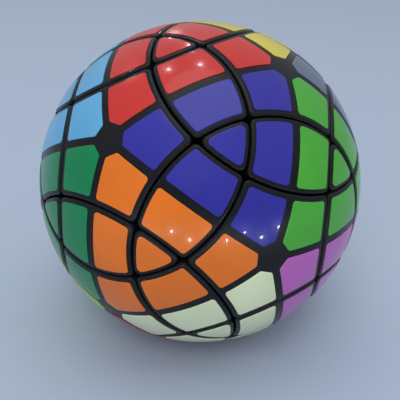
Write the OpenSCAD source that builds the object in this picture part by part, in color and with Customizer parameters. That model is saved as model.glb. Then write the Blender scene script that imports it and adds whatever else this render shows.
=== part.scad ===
// Ball-shaped twisting puzzle with twelve turning faces.
//
// Twelve cones, one around each hub axis, cut the ball into 12 centres, 30 edges and 20 corners.
// Two sets of cones share the same axes: narrow ones cut the outer shell, wider ones cut the feet.
// A corner's foot so reaches under the edges, and an edge's foot under the centres. Twelve screws
// with springs pull the centres to the core, and that holds the whole ball together.
// Every face between pieces is turned about a hub axis or is a sphere about the ball's middle,
// so each face can turn. The origin is the ball's middle, and +Z passes through an edge's middle.

/* [Ball] */
// Radius of the ball
ball_r = 35; // [33:0.5:45]
// Angle between a hub axis and the cut around it, in the outer shell
cut_angle = 43.15; // [42.6:0.05:43.8]
// Width of the gap between pieces that turn past each other
gap = 0.3; // [0.1:0.02:0.4]
// Radius of the round well where the points of four pieces meet
well_r = 0.55; // [0.3:0.05:0.8]

/* [Feet] */
// Radius of the sphere under which the feet run
foot_r = 19; // [17.5:0.5:21]
// Angle between a hub axis and the cut around it, among the feet
foot_angle = 48; // [47:0.1:49]
// Inset of a neck from the faces of the foot that it carries
neck_inset = 0.2; // [0.1:0.05:0.4]
// Radius of the mould's core hole up the middle of an edge
edge_hole_r = 2.4; // [1.5:0.1:2.8]

/* [Centres] */
// Wall of a hollow centre base and of its cap
wall = 1.6; // [1.2:0.1:2]
// Depth of a cap at its points, from the surface to the seat on the base
cap_rim = 4; // [3:0.1:5]
// Radius of the spring pocket in a centre base
pocket_r = 3.3; // [3.1:0.1:3.6]
// Height of the pocket's floor above the ball's middle
pocket_floor = 17.4; // [16:0.1:18]
// Depth of the cap's plug in the pocket
plug_depth = 2.4; // [1:0.1:3]
// Wall of the cap's plug
plug_wall = 0.6; // [0.4:0.05:0.8]
// Clearance of the plug in the pocket
plug_clearance = 0.08; // [0.04:0.01:0.15]

/* [Core and screws] */
// Radius of the core
core_r = 13; // [11.5:0.5:14]
// Radius of a screw's shank
screw_r = 1.25; // [1:0.05:1.5]
// Length of a screw under its head
screw_length = 17; // [15:0.5:18]
// Radius of a screw's head
head_r = 2.3; // [2:0.1:2.4]
// Height of a screw's head
head_h = 1.8; // [1.4:0.1:2.2]
// Width of the slots of the cross in a screw's head
cross_w = 0.6; // [0.4:0.1:0.8]
// Play between a screw and its thread in the core
thread_play = 0.05; // [0.02:0.01:0.08]
// Play between a screw and the centre that turns on it
turning_play = 0.15; // [0.1:0.01:0.25]
// Thickness of a washer
washer_t = 0.5; // [0.3:0.1:0.8]

/* [Springs] */
// Radius of a spring's wire
wire_r = 0.28; // [0.2:0.02:0.34]
// Radius from a spring's axis to the middle of its wire
coil_r = 1.95; // [1.8:0.05:2.1]
// Number of turns of wire
turns = 8; // [5:1:9]

/* [Hidden] */
$fn = 96;
golden = (1 + sqrt(5)) / 2;
short_c = 1 / sqrt(1 + golden * golden); // a hub axis has the components 0, short_c and long_c
long_c = golden * short_c;
HUBS = [for (s = [1, -1], t = [1, -1]) each [
    [0, s * long_c, t * short_c],
    [t * short_c, 0, s * long_c],
    [s * long_c, t * short_c, 0]
]];
ROUNDING = 1e-6;
MIDDLE_COS = 0.4; // neighbouring hubs have a larger cosine than this between them, others a smaller
EDGES = [for (i = [0:10]) for (j = [i + 1:11]) if (near(i, j)) [i, j]];
CORNERS = [for (e = EDGES) for (k = shared(e)) if (k > e[1]) [e[0], e[1], k]];

// The hubs of three faces that share no piece, so that each of them can be a turning layer
LAYERS = [["upper", 1], ["lower", 9], ["rear", 8]];
LAYER_HUBS = [for (l = LAYERS) l[1]];
FIXED_HUBS = [for (h = [0:11]) if (!has(LAYER_HUBS, h)) h];
FIXED_EDGES = [for (e = EDGES) if (!touches(e)) e];
FIXED_CORNERS = [for (c = CORNERS) if (!touches(c)) c];
SET = 3; // the fixed edges come in sets of three

// Between neighbouring hubs, and from a hub to where the points of its centre lie
hub_spread = acos(HUBS[0] * HUBS[1]);
WELLS = [for (e = EDGES) for (k = shared(e)) crossing(e[0], e[1], k)];
point_angle = acos(WELLS[0] * HUBS[shared(EDGES[0])[0]]);

shell_r = foot_r + gap; // inside of the outer shell
feet_in_r = core_r + gap; // inside of the feet
seat_h = ball_r * cos(point_angle) - cap_rim; // plane between a centre base and its cap
reach = 1.2 * ball_r; // longer than anything that it cuts
past = 1; // how far a short cut runs past what it cuts
tip_share = 0.8; // a cone starts at this share of the height at which it meets the inner sphere
own_margin = 5; // degrees from a centre's points to its own cone
spring_gap = 0.1; // a turning centre passes this far under its spring
turn_share = 0.96; // the turns of wire sink into each other a little, so that they are one solid
spring_h = 2 * wire_r * turns * turn_share;
slot_share = 0.6; // of a screw head's height and radius, in its cross
washer_z = pocket_floor + spring_gap + spring_h;
head_z = washer_z + washer_t;
head_side_play = 0.4; // between a washer's rim and the plug around it

function near(i, j) = i != j && HUBS[i] * HUBS[j] > MIDDLE_COS;
function shared(e) = [for (k = [0:11]) if (near(e[0], k) && near(e[1], k)) k];
function around(h) = [for (k = [0:11]) if (near(h, k)) k];
function has(list, item) = len([for (x = list) if (x == item) 1]) > 0;
function touches(piece) = len([for (h = piece) if (has(LAYER_HUBS, h)) 1]) > 0;
function unit(v) = v / norm(v);

// The direction where the cuts around hubs i and j cross, on the side of hub k
function crossing(i, j, k) =
    let (m = unit(HUBS[i] + HUBS[j]), n = unit(cross(HUBS[i], HUBS[j])),
         along = cos(cut_angle) / (m * HUBS[i]), side = sqrt(1 - along * along))
    along * m + (n * HUBS[k] > 0 ? side : -side) * n;

// Whether the direction w is at a point of the piece that lies inside some cuts and outside others
function at_point(w, inside, outside) =
    min([for (h = inside) w * HUBS[h]]) > cos(cut_angle) - ROUNDING
    && max(concat([-1], [for (h = outside) w * HUBS[h]])) < cos(cut_angle) + ROUNDING;

// Turns +Z to point along v
module toward(v) {
    rotate([0, acos(v[2] / norm(v)), atan2(v[1], v[0])]) children();
}

// Takes what is built around the first hub to another hub, with a turn about the axis of x = y = z
// and mirrors, which all map the twelve hubs onto each other
module at_hub(hub) {
    flip_z = floor(hub / 3) % 2;
    flip_y = floor(hub / 6);
    rotate(a = 120 * (hub % 3), v = [1, 1, 1]) mirror([0, flip_y, 0]) mirror([0, 0, flip_z]) children();
}

// A ball about the origin, turned so that its seam and poles stay off every hole and point
module ball(r) {
    rotate([7, 11, 13]) sphere(r);
}

// The cone around a hub from the height start up, with its face moved in by inset
module cut_cone(hub, angle, inset, start) {
    toward(HUBS[hub])
        translate([0, 0, inset / sin(angle) + start])
            cylinder(h = reach, r1 = start * tan(angle), r2 = (start + reach) * tan(angle));
}

// What lies inside some hubs' cones, outside others', and between two spheres.
// Each cone starts inside the inner sphere, because its tip cuts nothing.
module wedge(r_outer, r_inner, in_angle, out_angle, inside, outside, inset) {
    start = r_inner * cos(foot_angle) * tip_share;
    difference() {
        intersection() {
            ball(r_outer);
            intersection_for (h = inside) cut_cone(h, in_angle, inset, start);
        }
        ball(r_inner);
        for (h = outside) cut_cone(h, out_angle, -inset, start);
    }
}

// A centre lies inside its own cone, but it ends before it, where its neighbours' cones meet
function own_angle(inside, angle) = len(inside) == 1 ? point_angle + own_margin : angle;

// A piece's part of the outer shell, without the wells at its points
module shell_part(inside, outside) {
    difference() {
        wedge(ball_r, shell_r, own_angle(inside, cut_angle), cut_angle, inside, outside, gap / 2);
        for (w = WELLS)
            if (at_point(w, inside, outside)) toward(w) cylinder(h = reach, r = well_r);
    }
}

// A piece's foot
module foot_part(inside, outside) {
    wedge(foot_r, feet_in_r, own_angle(inside, foot_angle), foot_angle, inside, outside, gap / 2);
}

// The neck between a piece's shell and its foot
module neck_part(inside, outside) {
    wedge(shell_r + wall, foot_r - wall, own_angle(inside, cut_angle), foot_angle, inside, outside,
        gap / 2 + neck_inset);
}

function middle(hubs, n = 0) = n == len(hubs) - 1 ? HUBS[hubs[n]] : HUBS[hubs[n]] + middle(hubs, n + 1);

module edge(hubs) {
    color("#17181b")
        difference() {
            union() {
                shell_part(hubs, shared(hubs));
                neck_part(hubs, shared(hubs));
                foot_part(hubs, shared(hubs));
            }
            toward(middle(hubs)) cylinder(h = ball_r - 2 * wall, r = edge_hole_r);
        }
}

module corner(hubs) {
    color("#17181b") {
        shell_part(hubs, []);
        neck_part(hubs, []);
        foot_part(hubs, []);
    }
}

// The lower, hollow half of a centre, with the stem that turns on the screw
module centre_base(hub) {
    color("#202126")
        at_hub(hub) difference() {
            union() {
                shell_part([0], around(0));
                neck_part([0], around(0));
                foot_part([0], around(0));
            }
            toward(HUBS[0]) {
                cylinder(h = reach, r = screw_r + turning_play);
                translate([0, 0, pocket_floor]) cylinder(h = reach, r = pocket_r);
                base_hollow();
                translate([-reach, -reach, seat_h]) cube([2 * reach, 2 * reach, reach]);
            }
        }
}

// The ring-shaped hollow around a base's spring pocket, on the +Z axis
module base_hollow() {
    tube_r = pocket_r + wall / 2;
    side = hub_spread - cut_angle; // slope of a centre's sides, where they come nearest to its axis
    floor_z = shell_r + wall;
    top_z = seat_h + past;
    skin = (gap / 2 + wall) / cos(side);
    rotate_extrude()
        polygon([
            [tube_r, floor_z],
            [floor_z * tan(side) - skin, floor_z],
            [top_z * tan(side) - skin, top_z],
            [tube_r, top_z]
        ]);
}

// The domed cap that closes a centre, with a ring that plugs into the spring pocket
module centre_cap(hub) {
    color("#17181b")
        at_hub(hub) {
            difference() {
                shell_part([0], around(0));
                wedge(ball_r - wall, shell_r, own_angle([0]), cut_angle, [0], around(0), gap / 2 + wall);
                toward(HUBS[0]) translate([-reach, -reach, seat_h - reach])
                    cube([2 * reach, 2 * reach, reach]);
            }
            toward(HUBS[0]) cap_plug();
        }
}

// The ring under a cap, on the +Z axis
module cap_plug() {
    plug_r = pocket_r - plug_clearance;
    plug_z = seat_h - plug_depth;
    translate([0, 0, plug_z])
        difference() {
            cylinder(h = ball_r - wall / 2 - plug_z, r = plug_r);
            translate([0, 0, -past]) cylinder(h = ball_r - wall - plug_z + past, r = plug_r - plug_wall);
        }
}

module core() {
    screw_end = head_z - screw_length;
    color("#3a3b40")
        difference() {
            ball(core_r);
            for (h = HUBS)
                toward(h) translate([0, 0, screw_end - thread_play])
                    cylinder(h = reach, r = screw_r + thread_play);
        }
}

// One screw on the +Z axis, with a cross in its head
module screw() {
    slot_depth = head_h * slot_share;
    difference() {
        union() {
            translate([0, 0, head_z]) cylinder(h = head_h, r = head_r);
            translate([0, 0, head_z - screw_length]) cylinder(h = screw_length + head_h / 2, r = screw_r);
        }
        for (turn = [0, 90])
            rotate([0, 0, turn])
                translate([-head_r * slot_share, -cross_w / 2, head_z + head_h - slot_depth])
                    cube([2 * head_r * slot_share, cross_w, head_h]);
    }
}

// One spring on the +Z axis: turns of wire lying on each other, with flat ground ends
module spring() {
    pitch = (spring_h - 2 * wire_r) / (turns - 1);
    translate([0, 0, pocket_floor + spring_gap])
        rotate_extrude() {
            for (n = [0:turns - 1])
                translate([coil_r, wire_r + n * pitch]) circle(wire_r, $fn = 24);
            for (y = [0, spring_h - wire_r])
                translate([coil_r - wire_r, y]) square([2 * wire_r, wire_r]);
        }
}

// One washer on the +Z axis
module washer() {
    outer_r = pocket_r - plug_wall - plug_clearance - head_side_play / 2;
    translate([0, 0, washer_z])
        difference() {
            cylinder(h = washer_t, r = outer_r);
            translate([0, 0, -past]) cylinder(h = washer_t + 2 * past, r = screw_r + turning_play);
        }
}

module centre_screws() {
    color("#b9bcc2") for (h = HUBS) toward(h) screw();
}

module centre_springs() {
    color("#8f949c") for (h = HUBS) toward(h) spring();
}

module centre_washers() {
    color("#d0d2d6") for (h = HUBS) toward(h) washer();
}

module centre_bases() {
    for (h = FIXED_HUBS) centre_base(h);
}

module edge_set(n) {
    for (k = [0:SET - 1]) edge(FIXED_EDGES[SET * (n - 1) + k]);
}

EDGE_SETS = len(FIXED_EDGES) / SET;
function layer_pieces(pieces, hub) = [for (p = pieces) if (has(p, hub)) p];

core();
centre_screws();
centre_springs();
centre_washers();
centre_bases();
for (n = [1:len(FIXED_HUBS)])
    centre_cap(FIXED_HUBS[n - 1]);
for (n = [1:EDGE_SETS])
    edge_set(n);
for (n = [1:len(FIXED_CORNERS)])
    corner(FIXED_CORNERS[n - 1]);
for (l = LAYERS) {
    centre_base(l[1]);
    centre_cap(l[1]);
    for (n = [1:5]) {
        edge(layer_pieces(EDGES, l[1])[n - 1]);
        corner(layer_pieces(CORNERS, l[1])[n - 1]);
    }
}
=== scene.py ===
from math import atan2, cos, pi, radians, sin, sqrt

import bpy
from mathutils import Matrix, Quaternion, Vector


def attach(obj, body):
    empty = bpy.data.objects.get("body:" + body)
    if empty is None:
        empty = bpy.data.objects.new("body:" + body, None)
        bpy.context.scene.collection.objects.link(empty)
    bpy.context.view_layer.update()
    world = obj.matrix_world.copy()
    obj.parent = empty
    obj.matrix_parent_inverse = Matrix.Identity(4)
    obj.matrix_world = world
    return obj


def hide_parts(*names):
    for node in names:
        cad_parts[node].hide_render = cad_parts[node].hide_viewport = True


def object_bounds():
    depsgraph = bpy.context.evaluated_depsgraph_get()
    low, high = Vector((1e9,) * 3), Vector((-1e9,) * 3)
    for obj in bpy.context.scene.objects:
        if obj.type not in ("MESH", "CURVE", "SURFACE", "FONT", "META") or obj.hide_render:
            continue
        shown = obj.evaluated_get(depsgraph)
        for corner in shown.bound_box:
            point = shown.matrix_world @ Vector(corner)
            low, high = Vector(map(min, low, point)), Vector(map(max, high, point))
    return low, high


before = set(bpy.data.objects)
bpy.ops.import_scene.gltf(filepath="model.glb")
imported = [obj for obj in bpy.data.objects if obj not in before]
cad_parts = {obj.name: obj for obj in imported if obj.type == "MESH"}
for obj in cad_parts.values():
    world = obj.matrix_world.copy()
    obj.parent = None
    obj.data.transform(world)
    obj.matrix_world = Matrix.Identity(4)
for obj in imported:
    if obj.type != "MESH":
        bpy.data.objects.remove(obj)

cad_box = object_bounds()


# ---- Black shells of the corner pieces -----------------------------------------------------------
# A corner is moulded in black ABS: a domed, rounded triangle whose rim is radiused so that fingers
# and neighbours slide over it, on a neck and a foot that run under the edges beside it.
BALL_R = (cad_box[1].z - cad_box[0].z) / 2
FOIL = 0.00014  # thickness of a sticker, whose face is the ball's surface
SHELL_TOP_R = BALL_R - FOIL
CUT = radians(43.15)  # from a hub axis to the cut around it
GAP = 0.0003  # between two shells
SHELL_IN_R = 0.0193
FOOT_R = 0.019
FOOT_IN_R = 0.0133
FOOT_CUT = radians(48)
RIM = 0.00045  # radius of a shell's rim
PLAN_R = 0.00125  # radius of a shell's points, seen from outside
RIM_STEPS = 4
BAND = 0.0008  # ring of dome just inside the outline, which the rim is cut from
STEP = 0.00045  # length of a side of an outline's polygon
POINT_STEPS = 8  # sides round each point of an outline
UNDER_RINGS = 3  # of faces across the underside of a shell or foil
CORNER_RINGS = 6  # of faces across a corner's dome
SOFT_ANGLE = radians(40)  # faces that meet at less are shaded as one surface
NECK_SINK = 0.0008  # how far a neck runs into the shell and the foot
FOOT_PLAN_R = 0.0006
NECK_PLAN_R = 0.0004
FOOT_RINGS, NECK_RINGS = 4, 3
NEXT_HUB_COS = 0.4  # neighbouring hubs have a larger cosine between them, all others a smaller one
FINE = 1e-6

golden = (1 + sqrt(5)) / 2
short_c = 1 / sqrt(1 + golden * golden)
long_c = golden * short_c
HUBS = []
for s in (1, -1):
    for t in (1, -1):
        HUBS.append(Vector((0, s * long_c, t * short_c)))
        HUBS.append(Vector((t * short_c, 0, s * long_c)))
        HUBS.append(Vector((s * long_c, t * short_c, 0)))


def near(i, j):
    return i != j and HUBS[i].dot(HUBS[j]) > NEXT_HUB_COS


def shared(i, j):
    return [k for k in range(12) if near(i, k) and near(j, k)]


EDGES = [(i, j) for i in range(12) for j in range(i + 1, 12) if near(i, j)]
CORNERS = [(i, j, k) for i, j in EDGES for k in shared(i, j) if k > j]
LAYERS = {"upper": 1, "lower": 9, "rear": 8}


def middle(hubs):
    return sum((HUBS[h] for h in hubs), Vector()).normalized()


def square_to(axis, point):
    return (point - axis * point.dot(axis)).normalized()


def layer_of(hubs):
    found = [name for name, hub in LAYERS.items() if hub in hubs]
    return found[0] if found else None


def body_of(hubs):
    layer = layer_of(hubs)
    return f"{layer}_layer" if layer else "core_frame"


def node_of(kind, hubs, pieces, group=1):
    """The CAD node that holds a piece, by the order in which the pieces of its layer come."""
    layer = layer_of(hubs)
    alike = [p for p in pieces if (LAYERS[layer] in p if layer else layer_of(p) is None)]
    n = alike.index(hubs) // (1 if layer else group) + 1
    return f"{layer}_{kind}_{n}" if layer else f"{kind}{'_set' if group > 1 else ''}_{n}"


def meeting(side, other, m, inward):
    """Where two sides meet when both are moved inward: of the two places, the one nearer to m."""
    (a, alpha, a_in), (b, beta, b_in) = side, other
    alpha += -inward if a_in else inward
    beta += -inward if b_in else inward
    c = a.dot(b)
    p = (cos(alpha) - c * cos(beta)) / (1 - c * c)
    q = (cos(beta) - c * cos(alpha)) / (1 - c * c)
    base = a * p + b * q
    rise = a.cross(b).normalized() * sqrt(max(0, 1 - base.length_squared))
    return max(base + rise, base - rise, key=lambda x: x.dot(m))


def arc(centre, start, end, count):
    """Directions from start up to end on a small circle about centre, without the last."""
    u, v = square_to(centre, start), square_to(centre, end)
    turn = atan2(centre.dot(u.cross(v)), u.dot(v))
    return [Quaternion(centre, turn * n / count) @ start for n in range(count)]


def outline(sides, m, inset, corner_r, r=BALL_R):
    """Directions round a piece whose sides are parts of circles: (axis, angle, whether it is inside).
    inset and corner_r are lengths on a sphere of radius r."""
    inset, rho = inset / r, corner_r / r
    ends = []
    for n, side in enumerate(sides):
        other = sides[(n + 1) % len(sides)]
        c = meeting(side, other, m, inset + rho)
        touch = []
        for axis, angle, inside in (side, other):
            e = angle + (-inset if inside else inset)
            touch.append(axis * cos(e) + square_to(axis, c) * sin(e))
        ends.append((c, *touch))
    found = []
    for n, (axis, _, _) in enumerate(sides):
        start, (c, end, after) = ends[n - 1][2], ends[n]
        count = max(3, round((start - end).length * r / STEP))
        found += arc(axis, start, end, count) + arc(c, end, after, POINT_STEPS)
    return found


def pick(obj, test, mode):
    """Goes back to edit mode with just the edges or faces selected whose every vertex passes the test."""
    mesh = obj.data
    bpy.ops.mesh.select_mode(type=mode)
    bpy.ops.object.mode_set(mode="OBJECT")
    mesh.vertices.foreach_set("select", [False] * len(mesh.vertices))
    mesh.edges.foreach_set("select", [False] * len(mesh.edges))
    mesh.polygons.foreach_set("select", [False] * len(mesh.polygons))
    for part in mesh.edges if mode == "EDGE" else mesh.polygons:
        part.select = all(test(mesh.vertices[v]) for v in part.vertices)
    bpy.ops.object.mode_set(mode="EDIT")


def onto_sphere(obj, r):
    """Moves the selected vertices along their radius onto a sphere."""
    bpy.ops.object.mode_set(mode="OBJECT")
    for v in obj.data.vertices:
        if v.select:
            v.co *= r / v.co.length
    bpy.ops.object.mode_set(mode="EDIT")


def dome(r, m, rings, obj):
    """Makes the one selected many-sided face a dome: smaller and smaller rings on a sphere about m."""
    size = rings + 1
    for n in range(rings):
        k = (size - 1) / size
        size -= 1
        bpy.ops.mesh.extrude_region()
        bpy.ops.transform.resize(value=(k, k, k), center_override=m * r)
        onto_sphere(obj, r)
    bpy.ops.mesh.poke()
    onto_sphere(obj, r)


def domed_solid(name, directions, m, top_r, bottom_r, rings, rim=0, band=0):
    """A solid between two spheres: an outline, drawn towards the ball's middle, with a radiused rim.
    band is the ring of dome just inside the outline, which the rim is cut from."""
    bpy.ops.object.select_all(action="DESELECT")
    bpy.ops.mesh.primitive_circle_add(vertices=len(directions), radius=top_r, fill_type="NGON")
    obj = bpy.context.object
    obj.name = obj.data.name = name
    for v, d in zip(obj.data.vertices, directions, strict=True):
        v.co = d * top_r
    bpy.ops.object.mode_set(mode="EDIT")
    bpy.ops.mesh.select_all(action="SELECT")
    bpy.ops.mesh.extrude_region()
    k = bottom_r / top_r
    bpy.ops.transform.resize(value=(k, k, k), center_override=(0, 0, 0))
    bpy.ops.mesh.select_all(action="SELECT")
    bpy.ops.mesh.normals_make_consistent(inside=False)
    pick(obj, lambda v: v.co.length < bottom_r + FINE, "FACE")
    dome(bottom_r, m, UNDER_RINGS, obj)
    pick(obj, lambda v: v.co.length > top_r - FINE, "FACE")
    if rim:
        bpy.ops.mesh.inset(thickness=band)
        onto_sphere(obj, top_r)
    dome(top_r, m, rings, obj)
    if rim:
        bpy.ops.object.mode_set(mode="OBJECT")
        points = obj.data.vertices
        walls = [sorted(e.vertices, key=lambda n: points[n].co.length) for e in obj.data.edges]
        on_rim = {high for low, high in walls
                  if points[high].co.length - points[low].co.length > (top_r - bottom_r) / 2}
        bpy.ops.object.mode_set(mode="EDIT")
        pick(obj, lambda v: v.index in on_rim, "EDGE")
        bpy.ops.mesh.bevel(offset=rim, offset_type="OFFSET", segments=RIM_STEPS, profile=0.5)
    bpy.ops.mesh.select_all(action="SELECT")
    bpy.ops.mesh.remove_doubles(threshold=FINE)
    bpy.ops.mesh.normals_make_consistent(inside=False)
    bpy.ops.object.mode_set(mode="OBJECT")
    bpy.ops.object.shade_smooth_by_angle(angle=SOFT_ANGLE)
    return obj


def combine(obj, tool, how):
    """Adds another moulding to this one, or cuts it out."""
    bpy.ops.object.select_all(action="DESELECT")
    bpy.context.view_layer.objects.active = obj
    step = obj.modifiers.new("moulding", "BOOLEAN")
    step.operation = how
    step.solver = "EXACT"
    step.object = tool
    bpy.ops.object.modifier_apply(modifier=step.name)
    bpy.data.objects.remove(tool)


def with_foot(shell, foot_sides, m, neck_sides):
    """Joins a foot and its neck to a shell as one moulding."""
    foot = domed_solid("foot", outline(foot_sides, m, GAP / 2, FOOT_PLAN_R, FOOT_R), m, FOOT_R, FOOT_IN_R,
                       FOOT_RINGS)
    neck = domed_solid("neck", outline(neck_sides, m, GAP, NECK_PLAN_R, FOOT_R), m, SHELL_IN_R + NECK_SINK,
                       FOOT_R - NECK_SINK, NECK_RINGS)
    combine(shell, neck, "UNION")
    combine(shell, foot, "UNION")


def copy_to(obj, name, matrix):
    """A copy with its own mesh, put in its place with the mesh itself turned."""
    made = obj.copy()
    made.data = obj.data.copy()
    made.name = made.data.name = name
    made.data.transform(matrix)
    bpy.context.collection.objects.link(made)
    return made


def upright(m, towards):
    """The turn that takes +Z to m and +X to the side of towards."""
    x = square_to(m, towards)
    return Matrix((x, m.cross(x), m)).transposed().to_4x4()


def circle_sides(inside, outside, angle):
    return [(HUBS[h], angle, True) for h in inside] + [(HUBS[h], angle, False) for h in outside]


black = bpy.data.materials.new("glossy_black_abs")
black.use_nodes = True
nodes, links = black.node_tree.nodes, black.node_tree.links
skin = nodes["Principled BSDF"]
where = nodes.new("ShaderNodeTexCoord")
smears = nodes.new("ShaderNodeTexNoise")
smears.inputs["Scale"].default_value = 90
smears.inputs["Detail"].default_value = 5
smears.inputs["Roughness"].default_value = 0.62
links.new(where.outputs["Object"], smears.inputs["Vector"])
gloss = nodes.new("ShaderNodeMapRange")
gloss.inputs["From Min"].default_value = 0.35
gloss.inputs["From Max"].default_value = 0.7
gloss.inputs["To Min"].default_value = 0.2
gloss.inputs["To Max"].default_value = 0.36
links.new(smears.outputs["Fac"], gloss.inputs["Value"])
links.new(gloss.outputs["Result"], skin.inputs["Roughness"])
tone = nodes.new("ShaderNodeValToRGB")
tone.color_ramp.elements[0].position = 0.3
tone.color_ramp.elements[0].color = (0.0045, 0.005, 0.006, 1)
tone.color_ramp.elements[1].position = 0.75
tone.color_ramp.elements[1].color = (0.0085, 0.0095, 0.0115, 1)
links.new(smears.outputs["Fac"], tone.inputs["Fac"])
links.new(tone.outputs["Color"], skin.inputs["Base Color"])
grain = nodes.new("ShaderNodeTexNoise")
grain.inputs["Scale"].default_value = 1500
grain.inputs["Detail"].default_value = 2
links.new(where.outputs["Object"], grain.inputs["Vector"])
relief = nodes.new("ShaderNodeBump")
relief.inputs["Strength"].default_value = 0.05
relief.inputs["Distance"].default_value = 0.00005
links.new(grain.outputs["Fac"], relief.inputs["Height"])
links.new(relief.outputs["Normal"], skin.inputs["Normal"])
skin.inputs["Specular IOR Level"].default_value = 0.22

first = CORNERS[0]
m = middle(first)
corner_shell = domed_solid("corner_pattern", outline(circle_sides(first, [], CUT), m, GAP / 2, PLAN_R), m,
                           SHELL_TOP_R, SHELL_IN_R, CORNER_RINGS, RIM, BAND)
with_foot(corner_shell, circle_sides(first, [], FOOT_CUT), m, circle_sides(first, [], CUT))
corner_shell.data.materials.append(black)
home = upright(m, HUBS[first[0]]).inverted()
for hubs in CORNERS:
    node = node_of("corner", hubs, CORNERS)
    shell = copy_to(corner_shell, f"{node}_shell", upright(middle(hubs), HUBS[hubs[0]]) @ home)
    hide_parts(node)
    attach(shell, body_of(hubs))
bpy.data.objects.remove(corner_shell)


# ---- Black shells of the edge pieces --------------------------------------------------------------
# An edge is a four-sided domed shell of the same plastic, with two outward-bowed sides towards its own
# hubs and two that curve in beside the corners. Its foot reaches under both centres.
EDGE_RINGS = 9  # of faces across an edge's dome
EDGES_IN_A_SET = 3
i, j = EDGES[0]
k, l = shared(i, j)
m = middle(EDGES[0])


def edge_sides(i, j, k, l, narrow, wide):
    return [(HUBS[i], narrow, True), (HUBS[k], wide, False),
            (HUBS[j], narrow, True), (HUBS[l], wide, False)]


edge_shell = domed_solid("edge_pattern", outline(edge_sides(i, j, k, l, CUT, CUT), m, GAP / 2, PLAN_R), m,
                         SHELL_TOP_R, SHELL_IN_R, EDGE_RINGS, RIM, BAND)
with_foot(edge_shell, edge_sides(i, j, k, l, FOOT_CUT, FOOT_CUT), m, edge_sides(i, j, k, l, CUT, FOOT_CUT))
edge_shell.data.materials.append(black)
home = upright(m, HUBS[i]).inverted()
for n, hubs in enumerate(EDGES):
    node = node_of("edge", hubs, EDGES, EDGES_IN_A_SET)
    ending = "" if layer_of(hubs) else f"_{n}"
    shell = copy_to(edge_shell, f"{node}_shell{ending}", upright(middle(hubs), HUBS[hubs[0]]) @ home)
    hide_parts(node)
    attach(shell, body_of(hubs))
bpy.data.objects.remove(edge_shell)


# ---- Centre caps -----------------------------------------------------------------------------------
# A cap is a domed five-pointed shell with sides that curve in, snapped onto the sprung base that turns on
# the core's screw. The bases inside stay as the CAD has them.
CAP_DEPTH = 0.0052
CAP_RINGS = 11  # of faces across a cap's dome
hub = HUBS[0]
round_about = [n for n in range(12) if near(0, n)]
x_side = square_to(hub, HUBS[round_about[0]])
y_side = hub.cross(x_side)
round_about.sort(key=lambda n: atan2(HUBS[n].dot(y_side), HUBS[n].dot(x_side)))
cap_outline = outline(circle_sides([], round_about, CUT), hub, GAP / 2, PLAN_R)
cap_pattern = domed_solid("cap_pattern", cap_outline, hub, SHELL_TOP_R, BALL_R - CAP_DEPTH, CAP_RINGS,
                          RIM, BAND)
cap_pattern.data.materials.append(black)
home = upright(hub, HUBS[round_about[0]]).inverted()
fixed = [n for n in range(12) if n not in LAYERS.values()]
for n in range(12):
    layer = layer_of([n])
    node = f"{layer}_centre_cap" if layer else f"centre_cap_{fixed.index(n) + 1}"
    neighbour = [k for k in range(12) if near(n, k)][0]
    shell = copy_to(cap_pattern, f"{node}_shell", upright(HUBS[n], HUBS[neighbour]) @ home)
    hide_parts(node)
    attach(shell, body_of([n]))
bpy.data.objects.remove(cap_pattern)


# ---- Stickers --------------------------------------------------------------------------------------
# Each is a die-cut vinyl foil with round corners and a clear gloss layer. Their twenty colours are those
# of an icosahedron's faces: one triangle, three half edges and three petals of each colour.
TRIANGLE_MARGIN = 0.00095  # from the middle of the cut to the foil
EDGE_MARGIN = 0.00105
PETAL_MARGIN = 0.00125
EDGE_BAND = 0.0017  # black between an edge's two foils
PETAL_BAND = 0.00155  # black between two petals
HUB_PLAIN = 0.0031  # from a hub to the cut ends of its petals
TRIANGLE_CORNER_R = 0.00085
FOIL_CORNER_R = 0.00065
FOIL_RIM = 0.00006
FOIL_BAND = 0.0002
FOIL_RINGS = 7  # of faces across a foil
FOIL_SINK = 0.00012  # foils are pressed on, so no air shows under them
FOIL_FOOT_R = SHELL_TOP_R - FOIL_SINK
HALF_OUT = radians(7)  # from an edge's middle to a point well inside its half foil
PETAL_OUT = radians(15)  # from a hub to a point well inside its petal

# Colours as display values, those of the seen faces first
FACE_COLOURS = {
    "blue": (44, 42, 146), "red": (190, 42, 36), "orange": (226, 114, 28), "light_green": (70, 164, 50),
    "dark_green": (0, 126, 74), "light_blue": (92, 164, 206), "cream": (222, 231, 190),
    "pink": (186, 98, 182), "yellow": (206, 192, 60), "slate": (84, 100, 124), "crimson": (150, 24, 44),
    "white": (232, 232, 228), "brown": (104, 62, 36), "purple": (104, 48, 140), "navy": (28, 44, 104),
    "lemon": (240, 220, 70), "peach": (236, 172, 130), "teal": (20, 140, 146), "silver": (170, 172, 176),
    "lime": (168, 204, 60),
}


def place(x, y, z):
    """The hub nearest to a direction."""
    return max(range(12), key=lambda n: HUBS[n].dot(Vector((x, y, z))))


left, top_right, low_right = place(0, -1, 0.6), place(0.5, 0, 1), place(1, -0.6, 0)
top_left, right = place(-0.5, 0, 1), place(1, 0.6, 0)
far_left, low_left, low = place(-1, -0.6, 0), place(0, -1, -0.6), place(0.5, 0, -1)
top_back, low_back = place(0, 1, 0.6), place(-0.5, 0, -1)
seen = {
    (left, top_right, low_right): "blue", (left, top_right, top_left): "red",
    (left, low_right, low_left): "orange", (top_right, low_right, right): "light_green",
    (left, far_left, low_left): "dark_green", (left, far_left, top_left): "light_blue",
    (low_right, low, low_left): "cream", (low_right, low, right): "pink",
    (top_right, top_back, top_left): "yellow", (top_right, top_back, right): "slate",
    (low, low_left, low_back): "crimson",
}
colour_of = {tuple(sorted(f)): c for f, c in seen.items()}
spare = [c for c in FACE_COLOURS if c not in colour_of.values()]
for face in CORNERS:
    if face not in colour_of:
        colour_of[face] = spare.pop(0)


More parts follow.
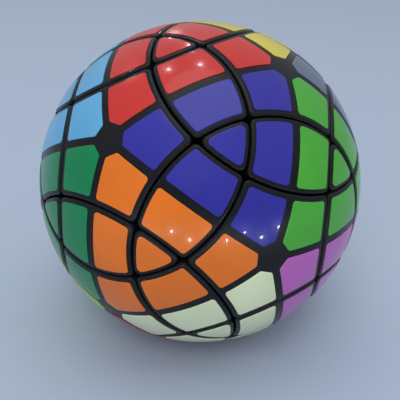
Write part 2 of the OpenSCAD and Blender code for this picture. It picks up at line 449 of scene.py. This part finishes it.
def linear(value):
    value /= 255
    return value / 12.92 if value <= 0.04045 else ((value + 0.055) / 1.055) ** 2.4


def foil_material(name, colour):
    """Glossy vinyl: a slightly uneven print under a clear layer, with fine dust and orange peel."""
    made = bpy.data.materials.new(f"vinyl_{name}")
    made.use_nodes = True
    nodes, links = made.node_tree.nodes, made.node_tree.links
    skin = nodes["Principled BSDF"]
    where = nodes.new("ShaderNodeTexCoord")
    cloud = nodes.new("ShaderNodeTexNoise")
    cloud.inputs["Scale"].default_value = 60
    cloud.inputs["Detail"].default_value = 4
    links.new(where.outputs["Object"], cloud.inputs["Vector"])
    base = [linear(c) for c in colour]
    tone = nodes.new("ShaderNodeValToRGB")
    tone.color_ramp.elements[0].position = 0.3
    tone.color_ramp.elements[0].color = (*[c * 0.9 for c in base], 1)
    tone.color_ramp.elements[1].position = 0.7
    tone.color_ramp.elements[1].color = (*[min(1, c * 1.07) for c in base], 1)
    links.new(cloud.outputs["Fac"], tone.inputs["Fac"])
    dust = nodes.new("ShaderNodeTexVoronoi")
    dust.inputs["Scale"].default_value = 520
    links.new(where.outputs["Object"], dust.inputs["Vector"])
    speck = nodes.new("ShaderNodeMapRange")
    speck.inputs["From Min"].default_value = 0.05
    speck.inputs["From Max"].default_value = 0.09
    speck.inputs["To Min"].default_value = 0.22
    speck.inputs["To Max"].default_value = 0
    links.new(dust.outputs["Distance"], speck.inputs["Value"])
    print_mix = nodes.new("ShaderNodeMix")
    print_mix.data_type = "RGBA"
    links.new(speck.outputs["Result"], print_mix.inputs["Factor"])
    links.new(tone.outputs["Color"], print_mix.inputs[6])
    print_mix.inputs[7].default_value = (*[min(1, c * 1.5 + 0.03) for c in base], 1)
    links.new(print_mix.outputs[2], skin.inputs["Base Color"])
    sheen = nodes.new("ShaderNodeMapRange")
    sheen.inputs["From Min"].default_value = 0.3
    sheen.inputs["From Max"].default_value = 0.7
    sheen.inputs["To Min"].default_value = 0.16
    sheen.inputs["To Max"].default_value = 0.27
    links.new(cloud.outputs["Fac"], sheen.inputs["Value"])
    links.new(sheen.outputs["Result"], skin.inputs["Roughness"])
    peel = nodes.new("ShaderNodeTexNoise")
    peel.inputs["Scale"].default_value = 420
    peel.inputs["Detail"].default_value = 2
    links.new(where.outputs["Object"], peel.inputs["Vector"])
    relief = nodes.new("ShaderNodeBump")
    relief.inputs["Strength"].default_value = 0.12
    relief.inputs["Distance"].default_value = 0.00004
    links.new(peel.outputs["Fac"], relief.inputs["Height"])
    links.new(relief.outputs["Normal"], skin.inputs["Normal"])
    skin.inputs["Specular IOR Level"].default_value = 0.25
    skin.inputs["Coat Weight"].default_value = 0.3
    skin.inputs["Coat Roughness"].default_value = 0.06
    return made


def great_circle(a, b, towards, band):
    """The side of a foil along the border through hubs a and b, on the side of a third hub."""
    axis = HUBS[a].cross(HUBS[b]).normalized()
    if axis.dot(HUBS[towards]) < 0:
        axis = -axis
    return (axis, pi / 2 - band / 2 / BALL_R, True)


def foil(sides, m, margin, corner_r=FOIL_CORNER_R):
    return domed_solid("foil", outline(sides, m, margin, corner_r), m, BALL_R, FOIL_FOOT_R, FOIL_RINGS,
                       FOIL_RIM, FOIL_BAND)


def shifted(sides, cuts, margin):
    """Moves the first few sides in by a margin; the others are where their band puts them."""
    e = margin / BALL_R
    return [(a, r + (-e if inside else e), inside) if n < cuts else (a, r, inside)
            for n, (a, r, inside) in enumerate(sides)]


a, b, c = first = CORNERS[0]
face_m = middle(first)
triangle_foil = foil(circle_sides(first, [], CUT), face_m, TRIANGLE_MARGIN, TRIANGLE_CORNER_R)
edge_m = middle((a, b))
half_m = edge_m * cos(HALF_OUT) + square_to(edge_m, HUBS[c]) * sin(HALF_OUT)
half_foil = foil(shifted([(HUBS[a], CUT, True), (HUBS[c], CUT, False), (HUBS[b], CUT, True)], 3, EDGE_MARGIN)
                 + [great_circle(a, b, c, EDGE_BAND)], half_m, 0)
petal_way = square_to(HUBS[a], face_m)
petal_m = HUBS[a] * cos(PETAL_OUT) + petal_way * sin(PETAL_OUT)
petal_foil = foil(shifted([(HUBS[b], CUT, False), (HUBS[c], CUT, False)], 2, PETAL_MARGIN)
                  + [great_circle(a, c, b, PETAL_BAND), (petal_way, pi / 2 - HUB_PLAIN / BALL_R, True),
                     great_circle(a, b, c, PETAL_BAND)], petal_m, 0)


def frame_of(x, y, z):
    """The turn, or turn and mirror, that takes the axes to three hubs' directions."""
    return Matrix((HUBS[x], HUBS[y], HUBS[z])).transposed()


home = frame_of(a, b, c).inverted()
vinyl = {name: foil_material(name, colour) for name, colour in FACE_COLOURS.items()}
foils = {}
for face, colour in colour_of.items():
    i, j, k = face
    plan = [(triangle_foil, face, (i, j, k))]
    plan += [(half_foil, pair, (*pair, third)) for pair, third in (((i, j), k), ((j, k), i), ((i, k), j))]
    plan += [(petal_foil, (one,), (one, *rest)) for one, rest in ((i, (j, k)), (j, (i, k)), (k, (i, j)))]
    for pattern, hubs, order in plan:
        made = copy_to(pattern, "foil", (frame_of(*order) @ home).to_4x4())
        foils.setdefault((colour, body_of(hubs)), []).append(made)
for (colour, body), group in foils.items():
    bpy.ops.object.select_all(action="DESELECT")
    for o in group:
        o.select_set(True)
    bpy.context.view_layer.objects.active = group[0]
    bpy.ops.object.join()
    sheet = bpy.context.object
    bpy.ops.object.mode_set(mode="EDIT")
    bpy.ops.mesh.select_all(action="SELECT")
    bpy.ops.mesh.normals_make_consistent(inside=False)
    bpy.ops.object.mode_set(mode="OBJECT")
    sheet.name = sheet.data.name = f"stickers_{colour}_{body}"
    sheet.data.materials.clear()
    sheet.data.materials.append(vinyl[colour])
    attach(sheet, body)
for pattern in (triangle_foil, half_foil, petal_foil):
    bpy.data.objects.remove(pattern)


# ---- Core, screws, springs, washers and centre bases ---------------------------------------------
# They are sealed in the ball. The core and bases are moulded in satin black plastic, and the screws,
# springs and washers are zinc-plated steel with fine turning marks.
def inner_material(name, colour, metallic, rough_low, rough_high, scale, bump):
    made = bpy.data.materials.new(name)
    made.use_nodes = True
    nodes, links = made.node_tree.nodes, made.node_tree.links
    skin = nodes["Principled BSDF"]
    skin.inputs["Metallic"].default_value = metallic
    where = nodes.new("ShaderNodeTexCoord")
    cloud = nodes.new("ShaderNodeTexNoise")
    cloud.inputs["Scale"].default_value = scale
    cloud.inputs["Detail"].default_value = 5
    links.new(where.outputs["Object"], cloud.inputs["Vector"])
    tone = nodes.new("ShaderNodeValToRGB")
    tone.color_ramp.elements[0].color = (*[c * 0.8 for c in colour], 1)
    tone.color_ramp.elements[1].color = (*[min(1, c * 1.15) for c in colour], 1)
    links.new(cloud.outputs["Fac"], tone.inputs["Fac"])
    links.new(tone.outputs["Color"], skin.inputs["Base Color"])
    rough = nodes.new("ShaderNodeMapRange")
    rough.inputs["To Min"].default_value = rough_low
    rough.inputs["To Max"].default_value = rough_high
    links.new(cloud.outputs["Fac"], rough.inputs["Value"])
    links.new(rough.outputs["Result"], skin.inputs["Roughness"])
    relief = nodes.new("ShaderNodeBump")
    relief.inputs["Strength"].default_value = bump
    relief.inputs["Distance"].default_value = 0.00005
    links.new(cloud.outputs["Fac"], relief.inputs["Height"])
    links.new(relief.outputs["Normal"], skin.inputs["Normal"])
    return made


satin = inner_material("satin_black_moulding", (0.016, 0.017, 0.02), 0, 0.35, 0.5, 900, 0.1)
core_grey = inner_material("satin_grey_core", (0.04, 0.042, 0.05), 0, 0.4, 0.55, 900, 0.1)
steel = inner_material("zinc_plated_steel", (0.6, 0.61, 0.63), 1, 0.22, 0.38, 1400, 0.08)
wire = inner_material("spring_steel", (0.4, 0.41, 0.43), 1, 0.28, 0.42, 1800, 0.08)
finish = {"core": core_grey, "centre_screws": steel, "centre_washers": steel, "centre_springs": wire}
for name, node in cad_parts.items():
    if node.hide_render:
        continue
    node.data.materials.clear()
    node.data.materials.append(finish.get(name, satin))


# ---- Floor, light and camera -----------------------------------------------------------------------
# A plain pale floor under soft light from above and in front, and two rows of small lamps that only show
# as sparks on the foils.
FLOOR_SIZE = 6
FLOOR_DROP = 0.0001
bpy.ops.object.select_all(action="DESELECT")
bpy.ops.mesh.primitive_plane_add(size=FLOOR_SIZE, location=(0, 0, cad_box[0].z - FLOOR_DROP))
floor = bpy.context.object
floor.name = "pale_floor"
paper = bpy.data.materials.new("pale_paper")
paper.use_nodes = True
skin = paper.node_tree.nodes["Principled BSDF"]
skin.inputs["Base Color"].default_value = (0.4, 0.465, 0.575, 1)
skin.inputs["Roughness"].default_value = 0.85
floor.data.materials.append(paper)

world = bpy.data.worlds.new("room")
bpy.context.scene.world = world
world.use_nodes = True
nodes, links = world.node_tree.nodes, world.node_tree.links
around = nodes.new("ShaderNodeTexCoord")
height = nodes.new("ShaderNodeSeparateXYZ")
links.new(around.outputs["Generated"], height.inputs["Vector"])
ceiling = nodes.new("ShaderNodeValToRGB")
ceiling.color_ramp.elements[0].position = 0.1
ceiling.color_ramp.elements[0].color = (0.5, 0.53, 0.58, 1)
ceiling.color_ramp.elements[1].position = 1
ceiling.color_ramp.elements[1].color = (1, 1.04, 1.12, 1)
links.new(height.outputs["Z"], ceiling.inputs["Fac"])
links.new(ceiling.outputs["Color"], nodes["Background"].inputs["Color"])
nodes["Background"].inputs["Strength"].default_value = 0.7


def area_light(name, place, size, power, colour=(1, 1, 1)):
    data = bpy.data.lights.new(name, "AREA")
    data.shape = "DISK"
    data.size, data.energy, data.color = size, power, colour
    lamp = bpy.data.objects.new(name, data)
    lamp.location = place
    lamp.rotation_euler = (-Vector(place)).to_track_quat("-Z", "Y").to_euler()
    bpy.context.collection.objects.link(lamp)
    return lamp


area_light("lamp_above", place=(0.1, -0.2, 1.2), size=1.1, power=3.5, colour=(1, 0.99, 0.97))
soft_front = area_light("lamp_front", place=(0.5, -1, 0.9), size=0.9, power=9, colour=(0.95, 0.98, 1))
soft_front.visible_glossy = False


def towards(azimuth, elevation):
    """A direction from the middle of the ball, by its angles in degrees."""
    a, e = radians(azimuth), radians(elevation)
    return Vector((cos(a) * cos(e), sin(a) * cos(e), sin(e)))


SPARK_AWAY = 0.15  # from the middle of the ball to the small lamps
SPARK_SIZE = 0.003
SPARK_POWER = 0.004
FRONT_SPARKS, TOP_SPARKS = 9, 5
FRONT_START, FRONT_SPREAD, FRONT_HEIGHTS = -90, 82, (-6, -10)  # a zigzag row low in front, in degrees
TOP_START, TOP_SPREAD, TOP_SIDES = 40, 40, (140, 190)  # a zigzag row up the back
hung = [towards(FRONT_START + FRONT_SPREAD * n / (FRONT_SPARKS - 1), FRONT_HEIGHTS[n % 2])
        for n in range(FRONT_SPARKS)]
hung += [towards(TOP_SIDES[n % 2], TOP_START + TOP_SPREAD * n / (TOP_SPARKS - 1)) for n in range(TOP_SPARKS)]
for n, way in enumerate(hung):
    spark = area_light(f"lamp_small_{n}", way * SPARK_AWAY, SPARK_SIZE, SPARK_POWER)
    spark.visible_camera = spark.visible_diffuse = False

bpy.context.scene.view_settings.view_transform = "Standard"

CAMERA_AZIMUTH, CAMERA_ELEVATION, CAMERA_TILT = -55.3, 24.3, 3
CAMERA_AWAY = 4.41 * BALL_R
LENS = 62.1
SENSOR = 36
FRAME_SHIFT = -0.0467
back = towards(CAMERA_AZIMUTH, CAMERA_ELEVATION)
right = Quaternion(back, radians(CAMERA_TILT)) @ Vector((0, 0, 1)).cross(back).normalized()
camera_data = bpy.data.cameras.new("camera")
camera_data.sensor_width = SENSOR
camera_data.lens = LENS
camera_data.shift_y = FRAME_SHIFT
camera = bpy.data.objects.new("camera", camera_data)
camera.matrix_world = Matrix((right, back.cross(right), back)).transposed().to_4x4()
camera.location = back * CAMERA_AWAY
camera_data.clip_start = 0.01
bpy.context.collection.objects.link(camera)
bpy.context.scene.camera = camera
